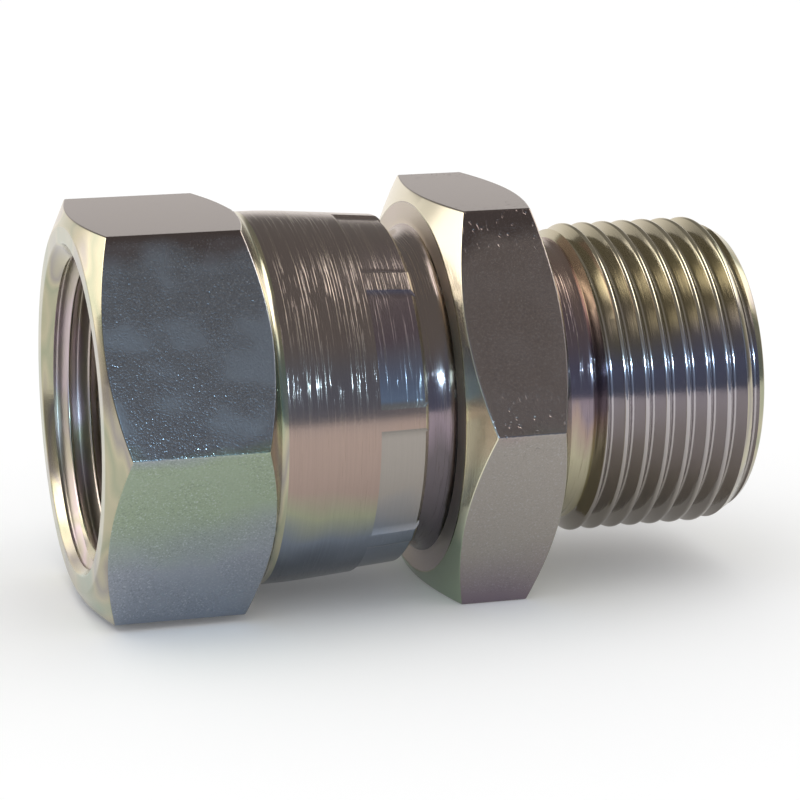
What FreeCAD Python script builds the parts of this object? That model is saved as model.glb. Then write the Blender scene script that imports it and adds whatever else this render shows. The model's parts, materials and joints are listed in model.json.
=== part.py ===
import FreeCAD, Part
import math
import os

# Straight swivel adapter for hydraulic lines: a body turned from hexagon bar, with a
# male pipe thread, and a hexagon nut that is crimped onto it and swivels.
# Lengths are in millimetres and angles in degrees. The turning axis is X: the nut's
# mouth opens towards -X and the male thread points towards +X. The origin is on the
# axis, halfway between the two end faces. Both hexagons have a flat underneath.

# Parallel pipe thread G 3/4, on the male end and in the nut
THREAD_MAJOR_DIAMETER = 26.441
THREAD_PITCH = 25.4 / 14
THREAD_DEPTH_IN_PITCHES = 0.640327

# Body, turned from hexagon bar
BODY_WALL = 3.43
BODY_HEX_LENGTH = 9.0
BODY_FACE_EDGE = 0.85
BODY_CHAMFER_ANGLE = 26.0
BAR_CORNER_RADIUS = 0.3
FLOW_BORE_DIAMETER = 16.0
NECK_FILLET = 2.0

# Male end, with a relief groove between hexagon and thread
MALE_LENGTH = 18.45
MALE_TIP_EDGE = 1.22
MALE_TIP_ANGLE = 30.0
RELIEF_LENGTH = 3.35
RELIEF_DEPTH_BELOW_ROOT = 0.2
RELIEF_EXIT_ANGLE = 62.5

# Sealing cones: the seat inside the male tip, and the nose inside the nut
CONE_HALF_ANGLE = 30.0
SEAT_LIP = 1.5
NOSE_TIP_WALL = 0.9
NOSE_LENGTH = 3.7
COLLAR_EDGE = 0.4

# Swivel nut
NUT_WALL = 2.78
NUT_HEX_LENGTH = 14.1
NUT_FACE_EDGE = 0.8
NUT_FRONT_CHAMFER_ANGLE = 26.0
NUT_REAR_CHAMFER_ANGLE = 30.0
NUT_MOUTH_CHAMFER = 1.74
NUT_MOUTH_ANGLE = 45.0
NUT_THREAD_LENGTH = 8.2
NUT_SHOULDER_HEIGHT = 1.79
NUT_SHOULDER_ANGLE = 45.0
SKIRT_STEP = 0.38
SKIRT_STRAIGHT_LENGTH = 2.9
SKIRT_TAPER_LENGTH = 9.6
SKIRT_TAPER_ANGLE = 4.6
SKIRT_END_EDGE = 0.35

# Crimp: dies press the end of the skirt in behind the collar, and a narrow strip
# stays raised between each two imprints
DIE_COUNT = 8
DIE_BAND_LENGTH = 4.2
DIE_DEPTH = 0.25
DIE_STRIP_WIDTH = 1.7
DIE_STRIP_TURN = 86.0

# Play between nut and body, which lets the nut swivel
RUNNING_CLEARANCE = 0.15
NOSE_SETBACK = 0.5
NUT_TO_HEX_GAP = 2.65

ORIGIN = FreeCAD.Vector(0, 0, 0)
AXIS = FreeCAD.Vector(1, 0, 0)
FULL_TURN = 360.0
HEX_SIDES = 6


def slope(angle):
    """Rise for each millimetre of run at the given angle."""
    return math.tan(math.radians(angle))


def across_corners(across_flats):
    return across_flats / math.cos(math.pi / HEX_SIDES)


def turned(outline, sweep=FULL_TURN):
    """Revolve a closed half-section about X. Its points are (x, diameter) pairs."""
    points = [FreeCAD.Vector(x, 0, diameter / 2) for x, diameter in outline]
    points.append(points[0])
    section = Part.Face(Part.makePolygon(points))
    return section.revolve(ORIGIN, AXIS, sweep)


def hexagon_bar(across_flats, start, end):
    """Drawn hexagon bar along X, with a flat underneath and its long corners eased."""
    radius = across_corners(across_flats) / 2
    points = []
    for side in range(HEX_SIDES + 1):
        turn = 2 * math.pi * side / HEX_SIDES
        points.append(FreeCAD.Vector(start, radius * math.cos(turn), radius * math.sin(turn)))
    section = Part.Face(Part.makePolygon(points))
    bar = section.extrude(AXIS * (end - start))
    corners = [edge for edge in bar.Edges if abs(edge.tangentAt(edge.FirstParameter).x) > 0.5]
    return bar.makeFillet(BAR_CORNER_RADIUS, corners)


def round_edges(shape, x, diameter):
    """The full circles of the given diameter that lie at x."""
    found = []
    for edge in shape.Edges:
        box = edge.BoundBox
        flat = box.XLength < 1e-6 and abs(box.XMin - x) < 1e-6
        if flat and abs(box.YLength - diameter) < 1e-4 and abs(box.ZLength - diameter) < 1e-4:
            found.append(edge)
    return found


# Thread and hexagon sizes that follow from the above
thread_minor_diameter = THREAD_MAJOR_DIAMETER - 2 * THREAD_DEPTH_IN_PITCHES * THREAD_PITCH
nut_across_flats = THREAD_MAJOR_DIAMETER + 2 * NUT_WALL
body_across_flats = THREAD_MAJOR_DIAMETER + 2 * BODY_WALL
skirt_diameter = nut_across_flats - 2 * SKIRT_STEP

# Stations along the axis, from the nut's mouth to the male tip
nut_length = NUT_HEX_LENGTH + SKIRT_STRAIGHT_LENGTH + SKIRT_TAPER_LENGTH
overall_length = nut_length + NUT_TO_HEX_GAP + BODY_HEX_LENGTH + MALE_LENGTH
nut_face = -overall_length / 2
nut_hex_end = nut_face + NUT_HEX_LENGTH
taper_start = nut_hex_end + SKIRT_STRAIGHT_LENGTH
skirt_end = taper_start + SKIRT_TAPER_LENGTH
hex_rear = skirt_end + NUT_TO_HEX_GAP
hex_front = hex_rear + BODY_HEX_LENGTH
male_tip = hex_front + MALE_LENGTH

# Inside of the nut: mouth, thread, and a bore over the collar that tapers with the skirt
mouth_run = NUT_MOUTH_CHAMFER / slope(NUT_MOUTH_ANGLE)
nut_thread_start = nut_face + mouth_run
nut_thread_end = nut_thread_start + NUT_THREAD_LENGTH
collar_bore = thread_minor_diameter + 2 * NUT_SHOULDER_HEIGHT
collar_bore_start = nut_thread_end + NUT_SHOULDER_HEIGHT / slope(NUT_SHOULDER_ANGLE)
taper_fall = 2 * SKIRT_TAPER_LENGTH * slope(SKIRT_TAPER_ANGLE)

# The collar and its tapered back run in that bore, with the same clearance all along
collar_diameter = collar_bore - 2 * RUNNING_CLEARANCE
neck_diameter = collar_diameter - taper_fall
nose_tip = nut_thread_end + NOSE_SETBACK
nose_tip_diameter = FLOW_BORE_DIAMETER + 2 * NOSE_TIP_WALL
nose_base_diameter = nose_tip_diameter + 2 * NOSE_LENGTH * slope(CONE_HALF_ANGLE)
collar_front = nose_tip + NOSE_LENGTH


def adapter_body():
    corners = across_corners(body_across_flats)
    face_diameter = body_across_flats - 2 * BODY_FACE_EDGE
    chamfer_run = (corners - face_diameter) / 2 * slope(BODY_CHAMFER_ANGLE)
    relief_diameter = thread_minor_diameter - 2 * RELIEF_DEPTH_BELOW_ROOT
    relief_end = hex_front + RELIEF_LENGTH
    relief_exit = (THREAD_MAJOR_DIAMETER - relief_diameter) / 2 / slope(RELIEF_EXIT_ANGLE)
    tip_diameter = THREAD_MAJOR_DIAMETER - 2 * MALE_TIP_EDGE
    tip_run = MALE_TIP_EDGE / slope(MALE_TIP_ANGLE)
    seat_mouth = tip_diameter - 2 * SEAT_LIP
    seat_depth = (seat_mouth - FLOW_BORE_DIAMETER) / 2 / slope(CONE_HALF_ANGLE)
    outline = [
        (nose_tip, FLOW_BORE_DIAMETER),
        (nose_tip, nose_tip_diameter),
        (collar_front, nose_base_diameter),
        (collar_front, collar_diameter - 2 * COLLAR_EDGE),
        (collar_front + COLLAR_EDGE, collar_diameter),
        (taper_start, collar_diameter),
        (skirt_end, neck_diameter),
        (hex_rear, neck_diameter),
        (hex_rear, face_diameter),
        (hex_rear + chamfer_run, corners),
        (hex_front - chamfer_run, corners),
        (hex_front, face_diameter),
        (hex_front, relief_diameter),
        (relief_end, relief_diameter),
        (relief_end + relief_exit, THREAD_MAJOR_DIAMETER),
        (male_tip - tip_run, THREAD_MAJOR_DIAMETER),
        (male_tip, tip_diameter),
        (male_tip, seat_mouth),
        (male_tip - seat_depth, FLOW_BORE_DIAMETER),
    ]
    bar = hexagon_bar(body_across_flats, nose_tip, male_tip)
    body = bar.common(turned(outline))
    return body.makeFillet(NECK_FILLET, round_edges(body, hex_rear, neck_diameter))


def skirt_diameter_at(x):
    """Outside diameter of the tapered part of the skirt."""
    return skirt_diameter - 2 * (x - taper_start) * slope(SKIRT_TAPER_ANGLE)


def die_imprints():
    """What the dies press out of the end of the skirt, one sector for each die."""
    band_start = skirt_end - DIE_BAND_LENGTH
    edge_start = skirt_end - SKIRT_END_EDGE
    past_end = skirt_end + DIE_BAND_LENGTH
    edge_diameter = skirt_diameter_at(edge_start) - 2 * DIE_DEPTH
    outline = [
        (band_start, skirt_diameter_at(band_start) - 2 * DIE_DEPTH),
        (edge_start, edge_diameter),
        (past_end, edge_diameter - 2 * (past_end - edge_start)),
        (past_end, skirt_diameter),
        (band_start, skirt_diameter),
    ]
    pitch = FULL_TURN / DIE_COUNT
    strip = math.degrees(DIE_STRIP_WIDTH / (skirt_diameter_at(skirt_end) / 2))
    imprint = turned(outline, pitch - strip)
    imprints = []
    for die in range(DIE_COUNT):
        copy = imprint.copy()
        copy.rotate(ORIGIN, AXIS, DIE_STRIP_TURN + strip / 2 + die * pitch)
        imprints.append(copy)
    return imprints


def swivel_nut():
    corners = across_corners(nut_across_flats)
    face_diameter = nut_across_flats - 2 * NUT_FACE_EDGE
    front_run = (corners - face_diameter) / 2 * slope(NUT_FRONT_CHAMFER_ANGLE)
    rear_run = (corners - skirt_diameter) / 2 * slope(NUT_REAR_CHAMFER_ANGLE)
    edge_start = skirt_end - SKIRT_END_EDGE
    edge_diameter = skirt_diameter_at(edge_start)
    outline = [
        (nut_face, thread_minor_diameter + 2 * NUT_MOUTH_CHAMFER),
        (nut_face, face_diameter),
        (nut_face + front_run, corners),
        (nut_hex_end - rear_run, corners),
        (nut_hex_end, skirt_diameter),
        (taper_start, skirt_diameter),
        (edge_start, edge_diameter),
        (skirt_end, edge_diameter - 2 * SKIRT_END_EDGE),
        (skirt_end, collar_bore - taper_fall),
        (taper_start, collar_bore),
        (collar_bore_start, collar_bore),
        (nut_thread_end, thread_minor_diameter),
        (nut_thread_start, thread_minor_diameter),
    ]
    bar = hexagon_bar(nut_across_flats, nut_face, skirt_end)
    nut = bar.common(turned(outline))
    return nut.cut(die_imprints())


os.makedirs("parts", exist_ok=True)
for name, shape in (("adapter_body", adapter_body()), ("swivel_nut", swivel_nut())):
    shape.exportStep("parts/" + name + ".step")
    print(name, "solids", len(shape.Solids), "valid", shape.isValid(), "volume", round(shape.Volume, 1))
print("overall length", round(overall_length, 2))
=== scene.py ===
import bpy
import json
import math
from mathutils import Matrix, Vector


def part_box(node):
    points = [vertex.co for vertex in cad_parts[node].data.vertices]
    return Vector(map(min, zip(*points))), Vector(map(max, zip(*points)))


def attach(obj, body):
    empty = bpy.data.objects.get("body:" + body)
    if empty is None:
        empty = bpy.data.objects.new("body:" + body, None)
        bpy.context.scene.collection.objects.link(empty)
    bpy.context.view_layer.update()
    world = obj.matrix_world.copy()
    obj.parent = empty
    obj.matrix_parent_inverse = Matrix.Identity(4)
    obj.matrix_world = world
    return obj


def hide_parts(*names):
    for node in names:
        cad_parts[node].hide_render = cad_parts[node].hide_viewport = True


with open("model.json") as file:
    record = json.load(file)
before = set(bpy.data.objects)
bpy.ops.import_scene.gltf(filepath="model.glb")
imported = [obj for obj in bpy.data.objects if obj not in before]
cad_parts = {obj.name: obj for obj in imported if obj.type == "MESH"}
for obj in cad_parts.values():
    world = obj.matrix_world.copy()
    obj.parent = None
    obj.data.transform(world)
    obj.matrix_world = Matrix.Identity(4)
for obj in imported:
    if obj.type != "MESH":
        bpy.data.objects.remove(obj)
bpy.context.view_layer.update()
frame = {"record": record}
print("frame loaded")

mm = 0.001
quarterTurn = math.radians(90)
fullTurn = math.radians(360)


def slope(angle):
    return math.tan(math.radians(angle))


# Places that the frame gives, in millimetres
def boxInMillimetres(node):
    low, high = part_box(node)
    return [c / mm for c in low], [c / mm for c in high]


mounts = {mount["name"]: mount for mount in frame["record"]["mounts"]}
(noseTip, _, _), (maleTip, _, bodyFlat) = boxInMillimetres("adapter_body")
(nutFace, _, _), (skirtEnd, _, nutFlat) = boxInMillimetres("swivel_nut")
threadMajor = mounts["male_thread"]["dims"]["r_mm"]
threadMinor = mounts["swivel_thread"]["dims"]["r_mm"]
nutThreadLength = mounts["swivel_thread"]["dims"]["length_mm"]
nutThreadMiddle = mounts["swivel_thread"]["pos_m"][0] / mm
hexFront = mounts["sealing_face"]["pos_m"][0] / mm


# Modelling helpers
def deselectAll():
    if bpy.context.object and bpy.context.object.mode != "OBJECT":
        bpy.ops.object.mode_set(mode="OBJECT")
    bpy.ops.object.select_all(action="DESELECT")


def makeActive(piece):
    deselectAll()
    piece.select_set(True)
    bpy.context.view_layer.objects.active = piece


def applyPlace(piece):
    makeActive(piece)
    bpy.ops.object.transform_apply(location=True, rotation=True, scale=True)


def applyModifier(piece, kind, **settings):
    makeActive(piece)
    modifier = piece.modifiers.new(kind.title(), kind)
    for name, value in settings.items():
        setattr(modifier, name, value)
    bpy.ops.object.modifier_apply(modifier=modifier.name)


# The cut faces take the tool's material
def cutWith(piece, tool, operation="DIFFERENCE"):
    applyModifier(
        piece, "BOOLEAN", object=tool, operation=operation, solver="EXACT",
        material_mode="TRANSFER")
    bpy.data.objects.remove(tool)


# Gives a finish to the faces that fit a test of their place, their distance from the axis and
# how far they face along it
def finishFaces(piece, material, fits):
    piece.data.materials.append(material)
    for polygon in piece.data.polygons:
        x, y, z = polygon.center / mm
        if fits(x, math.hypot(y, z), polygon.normal.x):
            polygon.material_index = len(piece.data.materials) - 1


def mergeAndOrient(piece, distance=0.0005):
    makeActive(piece)
    bpy.ops.object.mode_set(mode="EDIT")
    bpy.ops.mesh.select_all(action="SELECT")
    bpy.ops.mesh.remove_doubles(threshold=distance * mm)
    bpy.ops.mesh.normals_make_consistent(inside=False)
    bpy.ops.object.mode_set(mode="OBJECT")


def smoothShading(piece):
    makeActive(piece)
    bpy.ops.object.shade_smooth_by_angle(angle=math.radians(35))
    applyModifier(piece, "WEIGHTED_NORMAL", mode="FACE_AREA", keep_sharp=True)


# Rounds each corner of an outline of (x, radius, easing) points that has an easing. The easing
# runs back to the next point at most, or halfway if that one is eased too.
def easeCorners(outline, steps=6):
    eased = []
    for index, (x, radius, easing) in enumerate(outline):
        if not easing:
            eased.append((x, radius))
            continue
        corner = Vector((x, radius))
        ends = []
        for neighbour in (outline[index - 1], outline[(index + 1) % len(outline)]):
            way = Vector(neighbour[:2]) - corner
            room = way.length * (0.49 if neighbour[2] else 0.98)
            ends.append(corner + way.normalized() * min(easing, room))
        for step in range(steps + 1):
            t = step / steps
            point = ends[0] * (1 - t) ** 2 + corner * 2 * t * (1 - t) + ends[1] * t ** 2
            eased.append((point.x, point.y))
    return eased


turnedSegments = 192  # a multiple of six, so that the hexagons meet the rings evenly


# Turns a closed outline ring by ring, as a lathe would
def turnOutline(name, outline, material):
    rings = easeCorners(outline)
    x, radius = rings[0]
    deselectAll()
    bpy.ops.mesh.primitive_circle_add(
        vertices=turnedSegments, radius=radius * mm,
        location=(x * mm, 0, 0), rotation=(0, quarterTurn, 0))
    piece = bpy.context.object
    piece.name = name
    piece.data.materials.append(material)
    applyPlace(piece)
    bpy.ops.object.mode_set(mode="EDIT")
    bpy.ops.mesh.select_all(action="SELECT")
    for nextX, nextRadius in rings[1:] + rings[:1]:
        growth = nextRadius / radius
        bpy.ops.mesh.extrude_region_move(TRANSFORM_OT_translate={"value": ((nextX - x) * mm, 0, 0)})
        bpy.ops.transform.resize(value=(1, growth, growth), center_override=(nextX * mm, 0, 0))
        x, radius = nextX, nextRadius
    bpy.ops.object.mode_set(mode="OBJECT")
    mergeAndOrient(piece)
    return piece


# Distance of a hexagon's corners from the axis, where its flats are at the given one
def cornerOf(flat):
    return flat / math.cos(math.radians(30))


# A length of hexagon bar along X, with a flat underneath and its long corners eased
def makeHexagonBar(flat, start, end, cornerEasing, material):
    deselectAll()
    bpy.ops.mesh.primitive_cylinder_add(
        vertices=6, radius=cornerOf(flat) * mm, depth=(end - start) * mm,
        location=((start + end) / 2 * mm, 0, 0), rotation=(0, quarterTurn, 0))
    bar = bpy.context.object
    bar.data.materials.append(material)
    applyPlace(bar)
    bpy.ops.object.mode_set(mode="EDIT")
    bpy.ops.mesh.select_mode(type="EDGE")
    bpy.ops.mesh.select_all(action="DESELECT")
    bpy.ops.object.mode_set(mode="OBJECT")
    for edge in bar.data.edges:
        a, b = (bar.data.vertices[v].co for v in edge.vertices)
        edge.select = abs(a.x - b.x) > mm
    bpy.ops.object.mode_set(mode="EDIT")
    bpy.ops.mesh.bevel(offset=cornerEasing * mm, segments=3)
    bpy.ops.object.mode_set(mode="OBJECT")
    return bar


# Breaks the edges where the flats meet the turned chamfers, all outside the radius of the faces
def easeFlatEdges(piece, faceRadius, easing):
    mergeAndOrient(piece, distance=0.03)
    inside = (faceRadius + 0.05) * mm
    bpy.ops.object.mode_set(mode="EDIT")
    bpy.ops.mesh.select_mode(type="EDGE")
    bpy.ops.mesh.select_all(action="DESELECT")
    bpy.ops.mesh.edges_select_sharp(sharpness=math.radians(40))
    bpy.ops.object.mode_set(mode="OBJECT")
    for edge in piece.data.edges:
        ends = [piece.data.vertices[v].co for v in edge.vertices]
        edge.select = edge.select and all(math.hypot(end.y, end.z) > inside for end in ends)
    bpy.ops.object.mode_set(mode="EDIT")
    bpy.ops.mesh.bevel(offset=easing * mm, segments=2, clamp_overlap=False)
    bpy.ops.object.mode_set(mode="OBJECT")


# Whitworth form of the pipe thread, in millimetres and degrees
threadForm = {
    "pitch": 25.4 / 14,
    "flankAngle": 27.5,
    "bottomRounding": 0.478,   # how far the rounding runs up the flanks
    "crestRounding": 0.115,
    "crestSlope": 14,          # where the rounding stops, short of level, so that the cut is clean
    "crestLand": 0.047,        # half of what stays of the blank between two grooves
    "crestAtFront": 15.67,     # one crest of the male thread, on the side that faces the camera
    "roundingSteps": 5,
}


# A helical tool that cuts the thread. heightSign is 1 for a groove that opens outwards.
def makeThreadTool(start, turns, bottomRadius, heightSign, material):
    pitch = threadForm["pitch"]
    depth = threadMajor - threadMinor
    flank = slope(threadForm["flankAngle"])
    rise = slope(threadForm["crestSlope"])
    apexDepth = (pitch / 2 / flank - depth) / 2
    landEdge = pitch / 2 - threadForm["crestLand"]
    wall = pitch / 2 - threadForm["crestLand"] / 2
    shoulder = (depth - rise * landEdge + apexDepth) * flank / (1 - rise * flank)
    corners = [
        (0, -apexDepth),
        (shoulder, shoulder / flank - apexDepth),
        (wall, depth + rise * (wall - landEdge)),
        (wall, depth + pitch / 4),
    ]
    corners += [(-x, height) for x, height in reversed(corners[1:])]
    deselectAll()
    bpy.ops.mesh.primitive_circle_add(vertices=len(corners), fill_type="NGON", radius=mm)
    tool = bpy.context.object
    tool.data.materials.append(material)
    places = [
        Vector((start + x, 0, -bottomRadius - heightSign * height)) * mm
        for x, height in corners]
    for vertex, place in zip(tool.data.vertices, places):
        vertex.co = place
    bpy.ops.object.mode_set(mode="EDIT")
    bpy.ops.mesh.select_mode(type="VERT")
    bottom, crests = places[:1], (places[1], places[-1])
    for picked, rounding in ((bottom, "bottomRounding"), (crests, "crestRounding")):
        bpy.ops.mesh.select_all(action="DESELECT")
        bpy.ops.object.mode_set(mode="OBJECT")
        for vertex in tool.data.vertices:
            vertex.select = any((vertex.co - place).length < 0.001 * mm for place in picked)
        bpy.ops.object.mode_set(mode="EDIT")
        bpy.ops.mesh.bevel(
            offset=threadForm[rounding] * mm, segments=threadForm["roundingSteps"],
            affect="VERTICES")
    bpy.ops.mesh.select_all(action="SELECT")
    bpy.ops.mesh.delete(type="ONLY_FACE")
    bpy.ops.object.mode_set(mode="OBJECT")
    applyModifier(
        tool, "SCREW", axis="X", angle=fullTurn, screw_offset=pitch * mm, iterations=turns,
        steps=turnedSegments, render_steps=turnedSegments, use_smooth_shade=False)
    makeActive(tool)
    bpy.ops.object.mode_set(mode="EDIT")
    bpy.ops.mesh.select_all(action="SELECT")
    bpy.ops.mesh.fill_holes(sides=0)
    bpy.ops.object.mode_set(mode="OBJECT")
    mergeAndOrient(tool)
    return tool


# Shader maths: a wrapped socket, whose sums, products and other operators add Math nodes
class Signal:
    def __init__(self, tree, socket=None):
        self.tree = tree
        self.socket = socket

    # Adds any other node. Settings come first, then the values or links of its sockets.
    def node(self, kind, settings, sockets, output=0):
        made = self.tree.nodes.new(kind)
        for name, value in settings.items():
            if name == "stops":
                while len(made.color_ramp.elements) < len(value):
                    made.color_ramp.elements.new(1)
                for element, (place, colour) in zip(made.color_ramp.elements, value):
                    element.position = place
                    element.color = (*colour, 1)
            else:
                setattr(made, name, value)
        for name, value in sockets.items():
            if isinstance(value, Signal):
                self.tree.links.new(value.socket, made.inputs[name])
            else:
                made.inputs[name].default_value = value
        return Signal(self.tree, made.outputs[output] if made.outputs else None)

    def maths(self, operation, first, second=0.0, third=0.0):
        sockets = {0: first, 1: second, 2: third}
        return self.node("ShaderNodeMath", {"operation": operation}, sockets)

    def __add__(self, other):
        return self.maths("ADD", self, other)

    def __sub__(self, other):
        return self.maths("SUBTRACT", self, other)

    def __rsub__(self, other):
        return self.maths("SUBTRACT", other, self)

    def __mul__(self, other):
        return self.maths("MULTIPLY", self, other)

    def __pow__(self, other):
        return self.maths("POWER", self, other)

    __radd__ = __add__
    __rmul__ = __mul__

    # 0 below the low value, 1 above the high one, and smooth between
    def between(self, low, high):
        settings = {"interpolation_type": "SMOOTHSTEP"}
        sockets = {"Value": self, "From Min": low, "From Max": high}
        return self.node("ShaderNodeMapRange", settings, sockets)

    # The signal is the share of the second colour, unless a plain share is given
    def mixColour(self, first, second, blend="MIX", share=None):
        settings = {"data_type": "RGBA", "blend_type": blend}
        sockets = {"Factor": share or self, 6: first, 7: second}
        return self.node("ShaderNodeMix", settings, sockets, output=2)

    def axes(self):
        kind = "ShaderNodeSeparateXYZ"
        return [self.node(kind, {}, {"Vector": self}, output=i) for i in range(3)]

    def scaled(self, along, across):
        sockets = {"Vector": self, "Scale": (along, across, across)}
        return self.node("ShaderNodeMapping", {}, sockets)

    def noise(self, frequency, detail, roughness=0.5):
        sockets = {"Vector": self, "Scale": frequency, "Detail": detail, "Roughness": roughness}
        return self.node("ShaderNodeTexNoise", {}, sockets)


def newMaterial(name):
    material = bpy.data.materials.new(name)
    material.use_nodes = True
    material.node_tree.nodes.clear()
    return material, Signal(material.node_tree)


# Colours of the zinc layer. The shade tints are painted shade, and the brightest yellows, lighter
# than the zinc, are painted light.
straw = (0.48, 0.44, 0.31)
paleStraw = (0.50, 0.46, 0.36)
paintedLightLemon = (0.86, 0.81, 0.62)
paintedLightPaleLemon = (0.64, 0.60, 0.47)
leaf = (0.31, 0.37, 0.27)
olive = (0.36, 0.37, 0.26)
rose = (0.37, 0.28, 0.24)
brown = (0.33, 0.28, 0.26)
plum = (0.26, 0.21, 0.24)
mauve = (0.42, 0.39, 0.39)
paleMauve = (0.50, 0.47, 0.51)
paleRose = (0.60, 0.50, 0.52)
dustyRose = (0.178, 0.145, 0.139)
slate = (0.30, 0.32, 0.36)
paleSlate = (0.38, 0.42, 0.48)
steelBlue = (0.22, 0.25, 0.30)
warmGrey = (0.34, 0.31, 0.28)
shade = (0.15, 0.13, 0.14)
shadeBlue = (0.10, 0.12, 0.15)

# Each finish takes its tints from a ramp. The way along the ramp is a patchy noise of the given
# size in millimetres along and across the axis, plus a lean for each millimetre of height. Through
# the lean the tints run darker low down: partly the zinc's own drift of tint, partly painted shade
# where the zinc mirrors the floor's shadow.
zincFinishes = {
    "turnedZinc": {
        "tints": [
            (0.3, olive), (0.4, straw), (0.46, olive), (0.5, straw),
            (0.55, warmGrey), (0.62, straw), (0.7, leaf)],
        "patch": (3.0, 14.0),
        "lean": 0.0,
        "drift": 1.0,
        "roughness": 0.17,
        "lines": 0.1,
    },
    # The shade tints low down on the neck and the fillet are painted shade of the gap behind the
    # skirt
    "neckZinc": {
        "tints": [(0.3, shade), (0.45, shade), (0.5, brown), (0.7, plum)],
        "patch": (2.0, 14.0),
        "lean": 0.02,
        "drift": 0.2,
        "roughness": 0.16,
        "lines": 0.5,
    },
    "filletZinc": {
        "tints": [(0.42, shade), (0.5, plum), (0.7, brown)],
        "patch": (2.0, 14.0),
        "lean": 0.03,
        "drift": 0.2,
        "roughness": 0.13,
        "lines": 0.7,
    },
    # The rear face lies in the gap behind the skirt; its pale tints are painted light there
    "rearFaceZinc": {
        "tints": [(0.3, paleRose), (0.7, straw)],
        "patch": (2.0, 14.0),
        "lean": 0.0,
        "drift": 0.6,
        "roughness": 0.4,
        "lines": 0.3,
    },
    # A paler copy of the turned finish: painted light on the rear chamfer, and a painted highlight
    # on the lip of the skirt
    "paleZinc": {
        "tints": [(0.15, leaf), (0.33, paintedLightLemon), (0.55, paintedLightLemon), (0.8, paintedLightPaleLemon)],
        "patch": (3.0, 14.0),
        "lean": 0.03,
        "drift": 0.3,
        "roughness": 0.18,
        "lines": 0.1,
    },
    "reliefZinc": {
        "tints": [
            (0.28, straw), (0.38, straw), (0.46, rose),
            (0.5, plum), (0.7, plum), (0.8, rose)],
        "patch": (1.5, 14.0),
        "lean": 0.03,
        "drift": 0.25,
        "roughness": 0.16,
        "lines": 0.8,
    },
    # Low down the skirt runs to dark blue tints: painted shade of the floor's shadow under it
    "skirtZinc": {
        "tints": [
            (0.05, shadeBlue), (0.15, shadeBlue), (0.21, steelBlue), (0.28, olive),
            (0.36, rose), (0.5, rose), (0.66, brown), (0.9, brown)],
        "patch": (9.0, 12.0),
        "lean": 0.03,
        "drift": 0.2,
        "roughness": 0.18,
        "lines": 1.0,
    },
    "threadZinc": {
        "tints": [
            (0.15, warmGrey), (0.3, warmGrey), (0.45, mauve),
            (0.62, paleMauve), (0.72, paleStraw), (0.85, straw)],
        "patch": (14.0, 9.0),
        "lean": 0.025,
        "drift": 0.3,
        "roughness": 0.13,
        "lines": 0.1,
    },
    "nutThreadZinc": {
        "tints": [(0.3, paleRose), (0.45, paleStraw), (0.55, paleRose), (0.7, paleStraw)],
        "patch": (2.5, 12.0),
        "lean": 0.0,
        "drift": 1.2,
        "roughness": 0.38,
        "lines": 0.3,
    },
    "nutFlatZinc": {
        "tints": [
            (0.03, steelBlue), (0.2, slate), (0.36, leaf), (0.49, leaf),
            (0.52, slate), (0.88, slate), (0.91, dustyRose)],
        "patch": (9.0, 9.0),
        "lean": 0.028,
        "drift": 0.2,
        "roughness": 0.21,
        "specks": 1.0,
        "haze": 1.0,
    },
    "bodyFlatZinc": {
        "tints": [
            (0.03, plum), (0.2, warmGrey), (0.35, warmGrey), (0.49, warmGrey),
            (0.52, brown), (0.88, brown), (0.91, dustyRose)],
        "patch": (9.0, 9.0),
        "lean": 0.028,
        "drift": 0.2,
        "roughness": 0.22,
        "specks": 0.5,
        "haze": 0.3,
        "nicks": 1.0,
    },
    # Low down the imprints run to dark blue tints: painted shade of the floor's shadow under the
    # skirt
    "pressedZinc": {
        "tints": [
            (0.05, shadeBlue), (0.2, steelBlue), (0.32, warmGrey), (0.5, warmGrey),
            (0.54, paleSlate), (0.72, plum), (0.9, brown)],
        "patch": (9.0, 9.0),
        "lean": 0.03,
        "drift": 0.2,
        "roughness": 0.2,
        "lines": 0.6,
    },
}


# The fine surface that the finishes share. Lengths are in millimetres and frequencies to a
# millimetre. A pair says where something begins and where it is full.
zincSurface = {
    "lineSlant": 1.3,              # carries the lines over faces that lie square to the axis
    "lineChange": 0.012,           # how fast a line changes on its way round
    "lineFrequency": 9.0,
    "lineHeight": 0.01,
    "troughLevels": (0.6, 0.4),
    "troughTint": (0.6, 0.6, 0.62, 1),
    "troughShare": 0.12,
    "ridgeLevels": (0.56, 0.68),
    "ridgeHeight": 0.008,
    "wornHeights": (-1, 6),        # the upper ridges take straw: a painted highlight for their glints
    "wornShare": 0.3,
    "broadLineFrequency": 1.1,
    "broadLineHeight": 0.01,
    "sideHeights": (15.9, 15.2),   # higher up lie the flats on top, and lower down those below
    "grainFrequency": 6.0,
    "grainHeight": 0.04,
    "speckShare": 0.35,
    "paleLevels": (0.55, 0.75),
    "paleSpeck": (0.62, 0.66, 0.72, 1),
    "darkLevels": (0.45, 0.28),
    "darkSpeck": (0.12, 0.13, 0.16, 1),
    "hazeFrequency": 0.3,
    "hazeLevels": (0.36, 0.68),
    "hazeShare": 0.03,
    "hazeRoughness": 0.1,
    "hazeCover": 0.6,              # how far the haze hides the specks
    "nickFrequency": (3.4, 1.8),   # along and across the axis
    "nickLevels": (0.7, 0.76),
    "nickRadii": (17.4, 18.4),     # only near the corners of the hexagon
    "nickDepth": 0.025,
}
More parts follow.
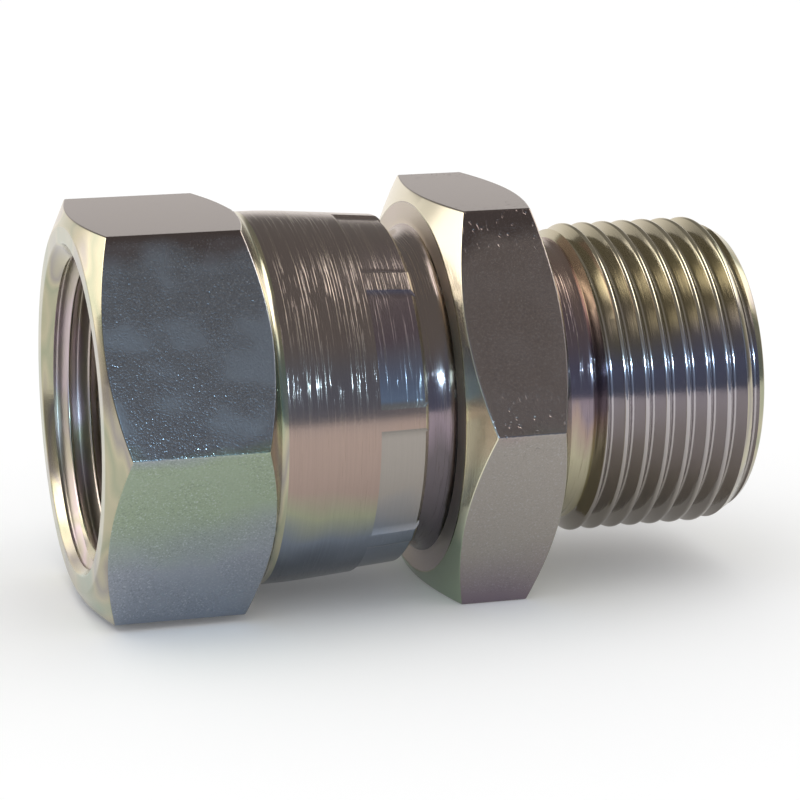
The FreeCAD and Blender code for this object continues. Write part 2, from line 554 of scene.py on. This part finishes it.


# Yellow zinc on steel: a metal whose tint drifts and runs darker low down, partly as painted
# shade, with turning lines round the axis, fine specks, patches of haze, and nicks near the
# corners of the hexagon. Darkened line troughs, straw upper ridges and pale specks add painted
# shade, highlight and sparkle.
def makeZinc(name):
    surface = zincSurface
    finish = zincFinishes[name]
    material, tree = newMaterial(name)
    place = tree.node("ShaderNodeTexCoord", {}, {}, output=3).scaled(1 / mm, 1 / mm)
    x, y, z = place.axes()
    radius = (y * y + z * z) ** 0.5

    patchAlong, patchAcross = finish["patch"]
    drift = place.scaled(1 / patchAlong, 1 / patchAcross).noise(1.0, 2.0)
    tintPlace = (drift - 0.5) * finish["drift"] + z * finish["lean"] + 0.5
    colour = tree.node("ShaderNodeValToRGB", {"stops": finish["tints"]}, {"Fac": tintPlace})

    # The tool leaves its lines round the axis, and each fades in and out on its way round
    slant, change = surface["lineSlant"], surface["lineChange"]
    sockets = {0: x + radius * slant, 1: y * change, 2: z * change}
    across = tree.node("ShaderNodeCombineXYZ", {}, sockets)
    fineLines = across.noise(surface["lineFrequency"], 2.0, 0.7)
    ridges = fineLines.between(*surface["ridgeLevels"])
    broadLines = across.noise(surface["broadLineFrequency"], 1.0)
    lines = fineLines * surface["lineHeight"] + ridges * surface["ridgeHeight"]
    lines = lines + broadLines * surface["broadLineHeight"]

    # Grain and haze lie on the sides of the hexagons, and not on the flats on top and underneath
    sides = z.maths("ABSOLUTE", z).between(*surface["sideHeights"])
    grain = place.noise(surface["grainFrequency"], 1.0, 0.6)
    haze = place.noise(surface["hazeFrequency"], 1.0, 0.4).between(*surface["hazeLevels"])
    haze = haze * sides * finish.get("haze", 0)
    specks = (1 - haze * surface["hazeCover"]) * sides * finish.get("specks", 0)
    nicks = place.scaled(*surface["nickFrequency"]).noise(1.0, 0.0).between(*surface["nickLevels"])
    nicks = nicks * radius.between(*surface["nickRadii"]) * surface["nickDepth"]

    # Each step lays one more tint over the colour
    lineShare = finish.get("lines", 0)
    # The troughs of the fine lines are darkened: painted shade
    shaded = tree.mixColour(colour, surface["troughTint"], "MULTIPLY", 1.0)
    troughShade = fineLines.between(*surface["troughLevels"]) * lineShare * surface["troughShare"]
    colour = troughShade.mixColour(colour, shaded)
    # The ridges on the upper side take straw: a painted highlight for their glints
    upperGlint = ridges * z.between(*surface["wornHeights"]) * lineShare * surface["wornShare"]
    colour = upperGlint.mixColour(colour, (*straw, 1))
    # The pale specks are partly grain in the zinc and partly painted sparkle
    pale = grain.between(*surface["paleLevels"]) * specks * surface["speckShare"]
    colour = (pale + haze * surface["hazeShare"]).mixColour(colour, surface["paleSpeck"])
    dark = grain.between(*surface["darkLevels"]) * specks * surface["speckShare"]
    colour = dark.mixColour(colour, surface["darkSpeck"])

    roughness = haze * surface["hazeRoughness"] + finish["roughness"]
    height = lines * lineShare + (grain - 0.5) * specks * surface["grainHeight"]
    height = height - nicks * finish.get("nicks", 0)
    bump = tree.node("ShaderNodeBump", {}, {"Strength": 1.0, "Distance": mm, "Height": height})
    shader = tree.node(
        "ShaderNodeBsdfPrincipled", {},
        {"Base Color": colour, "Metallic": 1.0, "Roughness": roughness, "Normal": bump})
    tree.node("ShaderNodeOutputMaterial", {}, {"Surface": shader})
    return material


zinc = {name: makeZinc(name) for name in zincFinishes}
print("materials made")


# The body: nose, collar and neck inside the nut, then hexagon, relief groove and thread
adapterBody = {
    "hexLength": 9.0,
    "faceEdge": 0.85,
    "faceEasing": 0.1,
    "chamferAngle": 26,
    "cornerEasing": 0.17,
    "edgeEasing": 0.12,
    "boreRadius": 8.0,
    "noseWall": 0.9,
    "noseLength": 3.7,
    "noseEasing": 0.2,
    "coneAngle": 30,
    "collarRadius": 13.6988,
    "collarEdge": 0.4,
    "collarEasing": 0.1,
    "taperStart": -11.35,
    "taperEasing": 0.5,
    "neckRadius": 12.9264,
    "neckEasing": 2.3,
    "reliefLength": 3.35,
    "reliefExitAngle": 62.5,
    "reliefDepth": 0.2,       # below the root of the thread
    "reliefEasing": 0.6,
    "reliefExitEasing": 0.4,
    "threadTurns": 10,
    "threadStartEasing": 0.16,
    "threadEndEasing": 0.15,
    "tipEdge": 1.22,
    "tipAngle": 30,
    "tipEasing": 0.2,
    "seatLip": 1.5,
    "seatEasing": 0.15,
    "seatEndEasing": 0.3,
    "rearFaceDepth": 0.15,    # how thick the finish of the rear face is taken to be
    "bareTip": 3.0,           # the tip keeps the turned finish over this length
}


def makeAdapterBody(size):
    hexRear = hexFront - size["hexLength"]
    corner = cornerOf(bodyFlat)
    face = bodyFlat - size["faceEdge"]
    chamferRun = (corner - face) * slope(size["chamferAngle"])
    cone = slope(size["coneAngle"])
    noseRadius = size["boreRadius"] + size["noseWall"]
    collarFront = noseTip + size["noseLength"]
    relief = threadMinor - size["reliefDepth"]
    reliefEnd = hexFront + size["reliefLength"]
    reliefExit = (threadMajor - relief) / slope(size["reliefExitAngle"])
    tip = threadMajor - size["tipEdge"]
    tipRun = size["tipEdge"] / slope(size["tipAngle"])
    seatMouth = tip - size["seatLip"]
    seatDepth = (seatMouth - size["boreRadius"]) / cone
    outline = [
        (noseTip, size["boreRadius"], size["noseEasing"]),
        (noseTip, noseRadius, size["noseEasing"]),
        (collarFront, noseRadius + size["noseLength"] * cone, size["noseEasing"]),
        (collarFront, size["collarRadius"] - size["collarEdge"], 0),
        (collarFront + size["collarEdge"], size["collarRadius"], size["collarEasing"]),
        (size["taperStart"], size["collarRadius"], size["taperEasing"]),
        (skirtEnd, size["neckRadius"], 0),
        (hexRear, size["neckRadius"], size["neckEasing"]),
        (hexRear, face, size["faceEasing"]),
        (hexRear + chamferRun, corner, 0),
        (hexFront - chamferRun, corner, 0),
        (hexFront, face, size["faceEasing"]),
        (hexFront, relief, size["reliefEasing"]),
        (reliefEnd, relief, size["reliefExitEasing"]),
        (reliefEnd + reliefExit, threadMajor, size["threadStartEasing"]),
        (maleTip - tipRun, threadMajor, size["threadEndEasing"]),
        (maleTip, tip, size["tipEasing"]),
        (maleTip, seatMouth, size["seatEasing"]),
        (maleTip - seatDepth, size["boreRadius"], size["seatEndEasing"]),
    ]
    piece = turnOutline("adapterBody", outline, zinc["turnedZinc"])
    filletStart = hexRear - size["neckEasing"]
    faceStart = hexRear - size["rearFaceDepth"]
    threadStart = reliefEnd + 0.1
    bands = [
        ("neckZinc", skirtEnd - 1, filletStart),
        ("filletZinc", filletStart, faceStart),
        ("rearFaceZinc", faceStart, hexRear + 0.01),
        ("reliefZinc", hexFront - 0.01, threadStart),
        ("threadZinc", threadStart, maleTip - size["bareTip"]),
    ]
    # The bands leave out the bore, the seat and the chamfers
    inner, outer = size["boreRadius"] + 2, face - 0.2
    for finish, start, end in bands:
        finishFaces(piece, zinc[finish], lambda x, r, facing: inner < r < outer and start < x < end)
    # The rear chamfer takes the paler finish: painted light
    finishFaces(piece, zinc["paleZinc"], lambda x, r, facing: r > face and x < hexRear + chamferRun)
    bar = makeHexagonBar(
        bodyFlat, noseTip - 1, maleTip + 1, size["cornerEasing"], zinc["bodyFlatZinc"])
    cutWith(piece, bar, "INTERSECT")
    easeFlatEdges(piece, face, size["edgeEasing"])
    # The first groove starts underneath, in the relief
    start = threadForm["crestAtFront"] - 2.25 * threadForm["pitch"]
    cutWith(piece, makeThreadTool(start, size["threadTurns"], threadMinor, 1, zinc["threadZinc"]))
    smoothShading(piece)
    return piece


body = makeAdapterBody(adapterBody)
print("body made", len(body.data.polygons))


# The swivel nut: hexagon, mouth, thread, and the skirt that is crimped behind the collar
swivelNut = {
    "hexLength": 14.1,
    "faceEdge": 0.8,
    "faceEasing": 0.15,
    "frontChamferAngle": 26,
    "rearChamferAngle": 30,
    "cornerEasing": 0.17,
    "edgeEasing": 0.12,
    "mouthChamfer": 1.74,
    "shoulderHeight": 1.79,
    "shoulderEasing": 0.3,
    "collarBoreEasing": 0.5,
    "skirtStep": 0.38,
    "skirtStepEasing": 0.6,
    "skirtStraight": 2.9,
    "skirtTaperAngle": 4.6,
    "skirtEasing": 2.5,
    "skirtEndEdge": 0.35,
    "skirtEndEasing": 0.15,
    "skirtInnerEasing": 0.12,
    "skirtFinishStart": 0.7,  # from the hexagon's end, so that the corner there stays bright
    "threadTurns": 8,
    "threadStart": -29.4,
    "threadEasing": 0.1,
}

crimp = {
    "dies": 8,
    "bandLength": 4.2,
    "depth": 0.25,
    "stripWidth": 1.7,
    "stripTurn": 86,          # one strip, measured from +Y towards +Z
    "wallRun": 0.35,          # how far each end wall slopes in
    "lip": 0.35,
    "toolAbove": 0.3,         # how far the tools stand out of the skirt
    "steps": 24,
}


def makeSwivelNut(size):
    corner = cornerOf(nutFlat)
    face = nutFlat - size["faceEdge"]
    skirt = nutFlat - size["skirtStep"]
    hexEnd = nutFace + size["hexLength"]
    taperStart = hexEnd + size["skirtStraight"]
    fall = slope(size["skirtTaperAngle"])
    skirtEndRadius = skirt - (skirtEnd - size["skirtEndEdge"] - taperStart) * fall
    collarBore = threadMinor + size["shoulderHeight"]
    threadEnd = nutThreadMiddle + nutThreadLength / 2
    frontRun = (corner - face) * slope(size["frontChamferAngle"])
    rearRun = (corner - skirt) * slope(size["rearChamferAngle"])
    outline = [
        (nutFace, threadMinor + size["mouthChamfer"], size["faceEasing"]),
        (nutFace, face, size["faceEasing"]),
        (nutFace + frontRun, corner, 0),
        (hexEnd - rearRun, corner, 0),
        (hexEnd, skirt, size["skirtStepEasing"]),
        (taperStart, skirt, size["skirtEasing"]),
        (skirtEnd - size["skirtEndEdge"], skirtEndRadius, size["skirtEndEasing"]),
        (skirtEnd, skirtEndRadius - size["skirtEndEdge"], size["skirtEndEasing"]),
        (skirtEnd, collarBore - (skirtEnd - taperStart) * fall, size["skirtInnerEasing"]),
        (taperStart, collarBore, size["collarBoreEasing"]),
        (threadEnd + size["shoulderHeight"], collarBore, size["shoulderEasing"]),
        (threadEnd, threadMinor, size["threadEasing"]),
        (threadEnd - nutThreadLength, threadMinor, size["threadEasing"]),
    ]
    piece = turnOutline("swivelNut", outline, zinc["turnedZinc"])
    inner, start = collarBore + 0.5, hexEnd + size["skirtFinishStart"]
    finishFaces(piece, zinc["skirtZinc"], lambda x, r, facing: r > inner and x > start)
    bar = makeHexagonBar(
        nutFlat, nutFace - 1, skirtEnd + 1, size["cornerEasing"], zinc["nutFlatZinc"])
    cutWith(piece, bar, "INTERSECT")
    easeFlatEdges(piece, face, size["edgeEasing"])
    pressImprints(piece, crimp, skirt, taperStart, fall)
    cutWith(piece, makeThreadTool(
        size["threadStart"], size["threadTurns"], threadMajor, -1, zinc["nutThreadZinc"]))
    smoothShading(piece)
    return piece


# Presses the die imprints into the end of the skirt. A strip stays between each two.
def pressImprints(piece, press, skirt, taperStart, fall):
    def skirtRadius(x):
        return skirt - (x - taperStart) * fall

    bandStart = skirtEnd - press["bandLength"]
    lipStart = skirtEnd - press["lip"]
    lipRadius = skirtRadius(lipStart) - press["depth"]
    corners = [
        (bandStart, skirtRadius(bandStart) - press["depth"]),
        (lipStart, lipRadius),
        (skirtEnd + 1, lipRadius - press["lip"] - 1),
        (skirtEnd + 1, skirtRadius(skirtEnd + 1) + press["toolAbove"]),
        (bandStart, skirtRadius(bandStart) + press["toolAbove"]),
    ]
    pitch = fullTurn / press["dies"]
    strip = press["stripWidth"] / lipRadius
    wall = press["wallRun"] / lipRadius
    floorTurn = pitch - strip - 2 * wall
    deselectAll()
    bpy.ops.mesh.primitive_circle_add(vertices=len(corners), fill_type="NGON", radius=mm)
    tool = bpy.context.object
    tool.data.materials.append(zinc["pressedZinc"])
    for vertex, (x, radius) in zip(tool.data.vertices, corners):
        vertex.co = (x * mm, radius * mm, 0)
    bpy.ops.object.mode_set(mode="EDIT")
    bpy.ops.mesh.select_all(action="SELECT")
    bpy.ops.mesh.spin(steps=press["steps"], angle=floorTurn, center=(0, 0, 0), axis=(1, 0, 0))
    for side in (0, 1):
        bpy.ops.mesh.select_all(action="DESELECT")
        bpy.ops.object.mode_set(mode="OBJECT")
        for vertex in tool.data.vertices:
            atEnd = abs(math.atan2(-vertex.co.z, vertex.co.y) - side * floorTurn) < 0.001
            height = math.hypot(vertex.co.y, vertex.co.z) / mm - skirtRadius(vertex.co.x / mm)
            vertex.select = atEnd and height > 0
        bpy.ops.object.mode_set(mode="EDIT")
        spread = (2 * side - 1) * wall * (1 + press["toolAbove"] / press["depth"])
        bpy.ops.transform.rotate(value=spread, orient_axis="X", center_override=(0, 0, 0))
    bpy.ops.object.mode_set(mode="OBJECT")
    mergeAndOrient(tool)
    tools = [tool]
    for die in range(press["dies"]):
        turned = tool.copy()
        turned.data = tool.data.copy()
        bpy.context.collection.objects.link(turned)
        turned.rotation_euler.x = math.radians(press["stripTurn"]) - strip / 2 - wall + die * pitch
        applyPlace(turned)
        tools.append(turned)
    bpy.data.objects.remove(tools.pop(0))
    makeActive(tools[0])
    for other in tools:
        other.select_set(True)
    bpy.ops.object.join()
    cutWith(piece, tools[0])
    # The lip at the skirt's end takes the paler finish: a painted highlight
    finishFaces(piece, zinc["paleZinc"], lambda x, r, facing: facing > 0.4 and x > lipStart - 0.02)


nut = makeSwivelNut(swivelNut)
print("nut made", len(nut.data.polygons))

for piece, node, slot in ((body, "adapter_body", "zinc_body"), (nut, "swivel_nut", "zinc_nut")):
    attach(piece, node)
    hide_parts(node)


# The floor is white to the camera and in reflections, and keeps the object's shadow
studio = {
    "floorHeight": -bodyFlat,
    "floorSize": 6.0,
    "floorColour": (0.85, 0.85, 0.85, 1),
    "floorGlow": 0.08,
    "lensLength": 137.72,
    "cameraDistance": 0.260,
    "cameraDrop": 0.00106,
    "cameraElevation": 13.53,
    "cameraTurn": 16.27,
}


# 1 for the rays that see the background itself, and 0 for those that only carry its light
def backgroundRays(tree):
    kinds = ("Is Camera Ray", "Is Glossy Ray", "Is Transmission Ray")
    seen = [tree.node("ShaderNodeLightPath", {}, {}, output=kind) for kind in kinds]
    return tree.maths("MAXIMUM", tree.maths("MAXIMUM", seen[0], seen[1]), seen[2])


def makeFloor():
    deselectAll()
    bpy.ops.mesh.primitive_grid_add(
        x_subdivisions=8, y_subdivisions=8, size=studio["floorSize"],
        location=(0, 0, studio["floorHeight"] * mm))
    floor = bpy.context.object
    floor.name = "floor"
    material, tree = newMaterial("paleFloor")
    diffuse = tree.node("ShaderNodeBsdfDiffuse", {}, {"Color": studio["floorColour"]})
    strength = backgroundRays(tree) * studio["floorGlow"]
    glow = tree.node("ShaderNodeEmission", {}, {"Color": (1, 1, 1, 1), "Strength": strength})
    both = tree.node("ShaderNodeAddShader", {}, {0: diffuse, 1: glow})
    tree.node("ShaderNodeOutputMaterial", {}, {"Surface": both})
    floor.data.materials.append(material)


# A hood over the table, seen only in reflections: dark above and on the camera's side, pale
# low down at the back, with the windows of the room in it. Its pairs of ways and heights are
# parts of its radius, and say where something begins and where it is full.
hoodCloth = {
    "radius": 0.2,
    "frontStrength": 0.25,
    "backStrength": 0.8,
    "backWays": (-0.1, 0.7),
    "darkHeights": (0.18, 0.5),
    "warmTint": (1.05, 1.0, 0.95, 1),
    "coolTint": (0.82, 1.0, 1.35, 1),
    "coolWays": (0.1, -0.4),
    "coolHeights": (0.7, 0.2),
}

# Angles are in degrees. A window fades out between the inner and the outer one.
windows = {
    "left": {"azimuth": 142, "elevation": 17, "inner": 10, "outer": 21, "strength": 2.1},
    "leftHigh": {"azimuth": 159, "elevation": 33, "inner": 12, "outer": 20, "strength": 4.5},
    "right": {"azimuth": 6, "elevation": 45, "inner": 13, "outer": 22, "strength": 5.0},
    "rightLow": {"azimuth": 17, "elevation": 28, "inner": 9, "outer": 18, "strength": 2.6},
    "rightFront": {"azimuth": -28, "elevation": 37, "inner": 5, "outer": 14, "strength": 1.8},
}


def makeHood():
    deselectAll()
    bpy.ops.mesh.primitive_uv_sphere_add(segments=48, ring_count=24, radius=hoodCloth["radius"])
    hood = bpy.context.object
    hood.name = "hood"
    material, tree = newMaterial("hoodCloth")
    place = tree.node("ShaderNodeTexCoord", {}, {}, output=3)
    direction = tree.node("ShaderNodeVectorMath", {"operation": "NORMALIZE"}, {0: place})
    x, y, z = direction.axes()
    back = y.between(*hoodCloth["backWays"]) * (1 - z.between(*hoodCloth["darkHeights"]))
    light = back * hoodCloth["backStrength"] + hoodCloth["frontStrength"]
    for window in windows.values():
        turn, rise = math.radians(window["azimuth"]), math.radians(window["elevation"])
        towards = (math.cos(turn) * math.cos(rise), math.sin(turn) * math.cos(rise), math.sin(rise))
        nearness = tree.node(
            "ShaderNodeVectorMath", {"operation": "DOT_PRODUCT"},
            {0: direction, 1: towards}, output=1)
        edge = math.cos(math.radians(window["outer"]))
        middle = math.cos(math.radians(window["inner"]))
        light = light.maths("MAXIMUM", light, nearness.between(edge, middle) * window["strength"])
    cool = y.between(*hoodCloth["coolWays"]) * z.between(*hoodCloth["coolHeights"])
    cloth = cool.mixColour(hoodCloth["warmTint"], hoodCloth["coolTint"])
    glow = tree.node("ShaderNodeEmission", {}, {"Color": cloth, "Strength": light})
    tree.node("ShaderNodeOutputMaterial", {}, {"Surface": glow})
    hood.data.materials.append(material)
    hood.visible_camera = False
    hood.visible_diffuse = False
    hood.visible_shadow = False


def makeWorld():
    world = bpy.data.worlds.new("paleRoom")
    bpy.context.scene.world = world
    world.use_nodes = True
    world.node_tree.nodes.clear()
    tree = Signal(world.node_tree)
    glow = tree.node("ShaderNodeBackground", {}, {"Color": (1, 1, 1, 1), "Strength": 1.0})
    tree.node("ShaderNodeOutputWorld", {}, {"Surface": glow})


# Area lamps: where each stands, its size and its power. Only the flash shows in reflections.
lamps = {
    "topSoftbox": {
        "place": (-0.3, -0.2, 1.2),
        "size": (1.0, 1.0),
        "power": 2.5,
        "tint": (1, 1, 1),
        "inReflections": False,
    },
    "flash": {
        "place": (-0.0495, -0.168, 0.0557),
        "size": (0.012, 0.012),
        "power": 0.18,
        "tint": (0.5, 0.78, 1),
        "inReflections": True,
    },
}


def makeLamps():
    for name, lamp in lamps.items():
        deselectAll()
        bpy.ops.object.light_add(type="AREA", location=lamp["place"])
        light = bpy.context.object
        light.name = name
        light.rotation_euler = (-Vector(lamp["place"])).to_track_quat("-Z", "Y").to_euler()
        light.data.shape = "RECTANGLE"
        light.data.size, light.data.size_y = lamp["size"]
        light.data.energy = lamp["power"]
        light.data.color = lamp["tint"]
        light.visible_glossy = lamp["inReflections"]
        light.visible_diffuse = not lamp["inReflections"]


def makeCamera():
    turn = math.radians(studio["cameraTurn"])
    rise = math.radians(studio["cameraElevation"])
    right, ahead = math.sin(turn), math.cos(turn)
    forward = Vector((right * math.cos(rise), ahead * math.cos(rise), -math.sin(rise)))
    upward = Vector((right * math.sin(rise), ahead * math.sin(rise), math.cos(rise)))
    deselectAll()
    bpy.ops.object.camera_add(
        location=-studio["cameraDistance"] * forward - studio["cameraDrop"] * upward,
        rotation=(quarterTurn - rise, 0, -turn))
    camera = bpy.context.object
    camera.data.lens = studio["lensLength"]
    camera.data.clip_start = 0.01
    bpy.context.scene.camera = camera


makeFloor()
makeHood()
makeWorld()
makeLamps()
makeCamera()
bpy.context.scene.view_settings.view_transform = "Standard"
print("studio set")
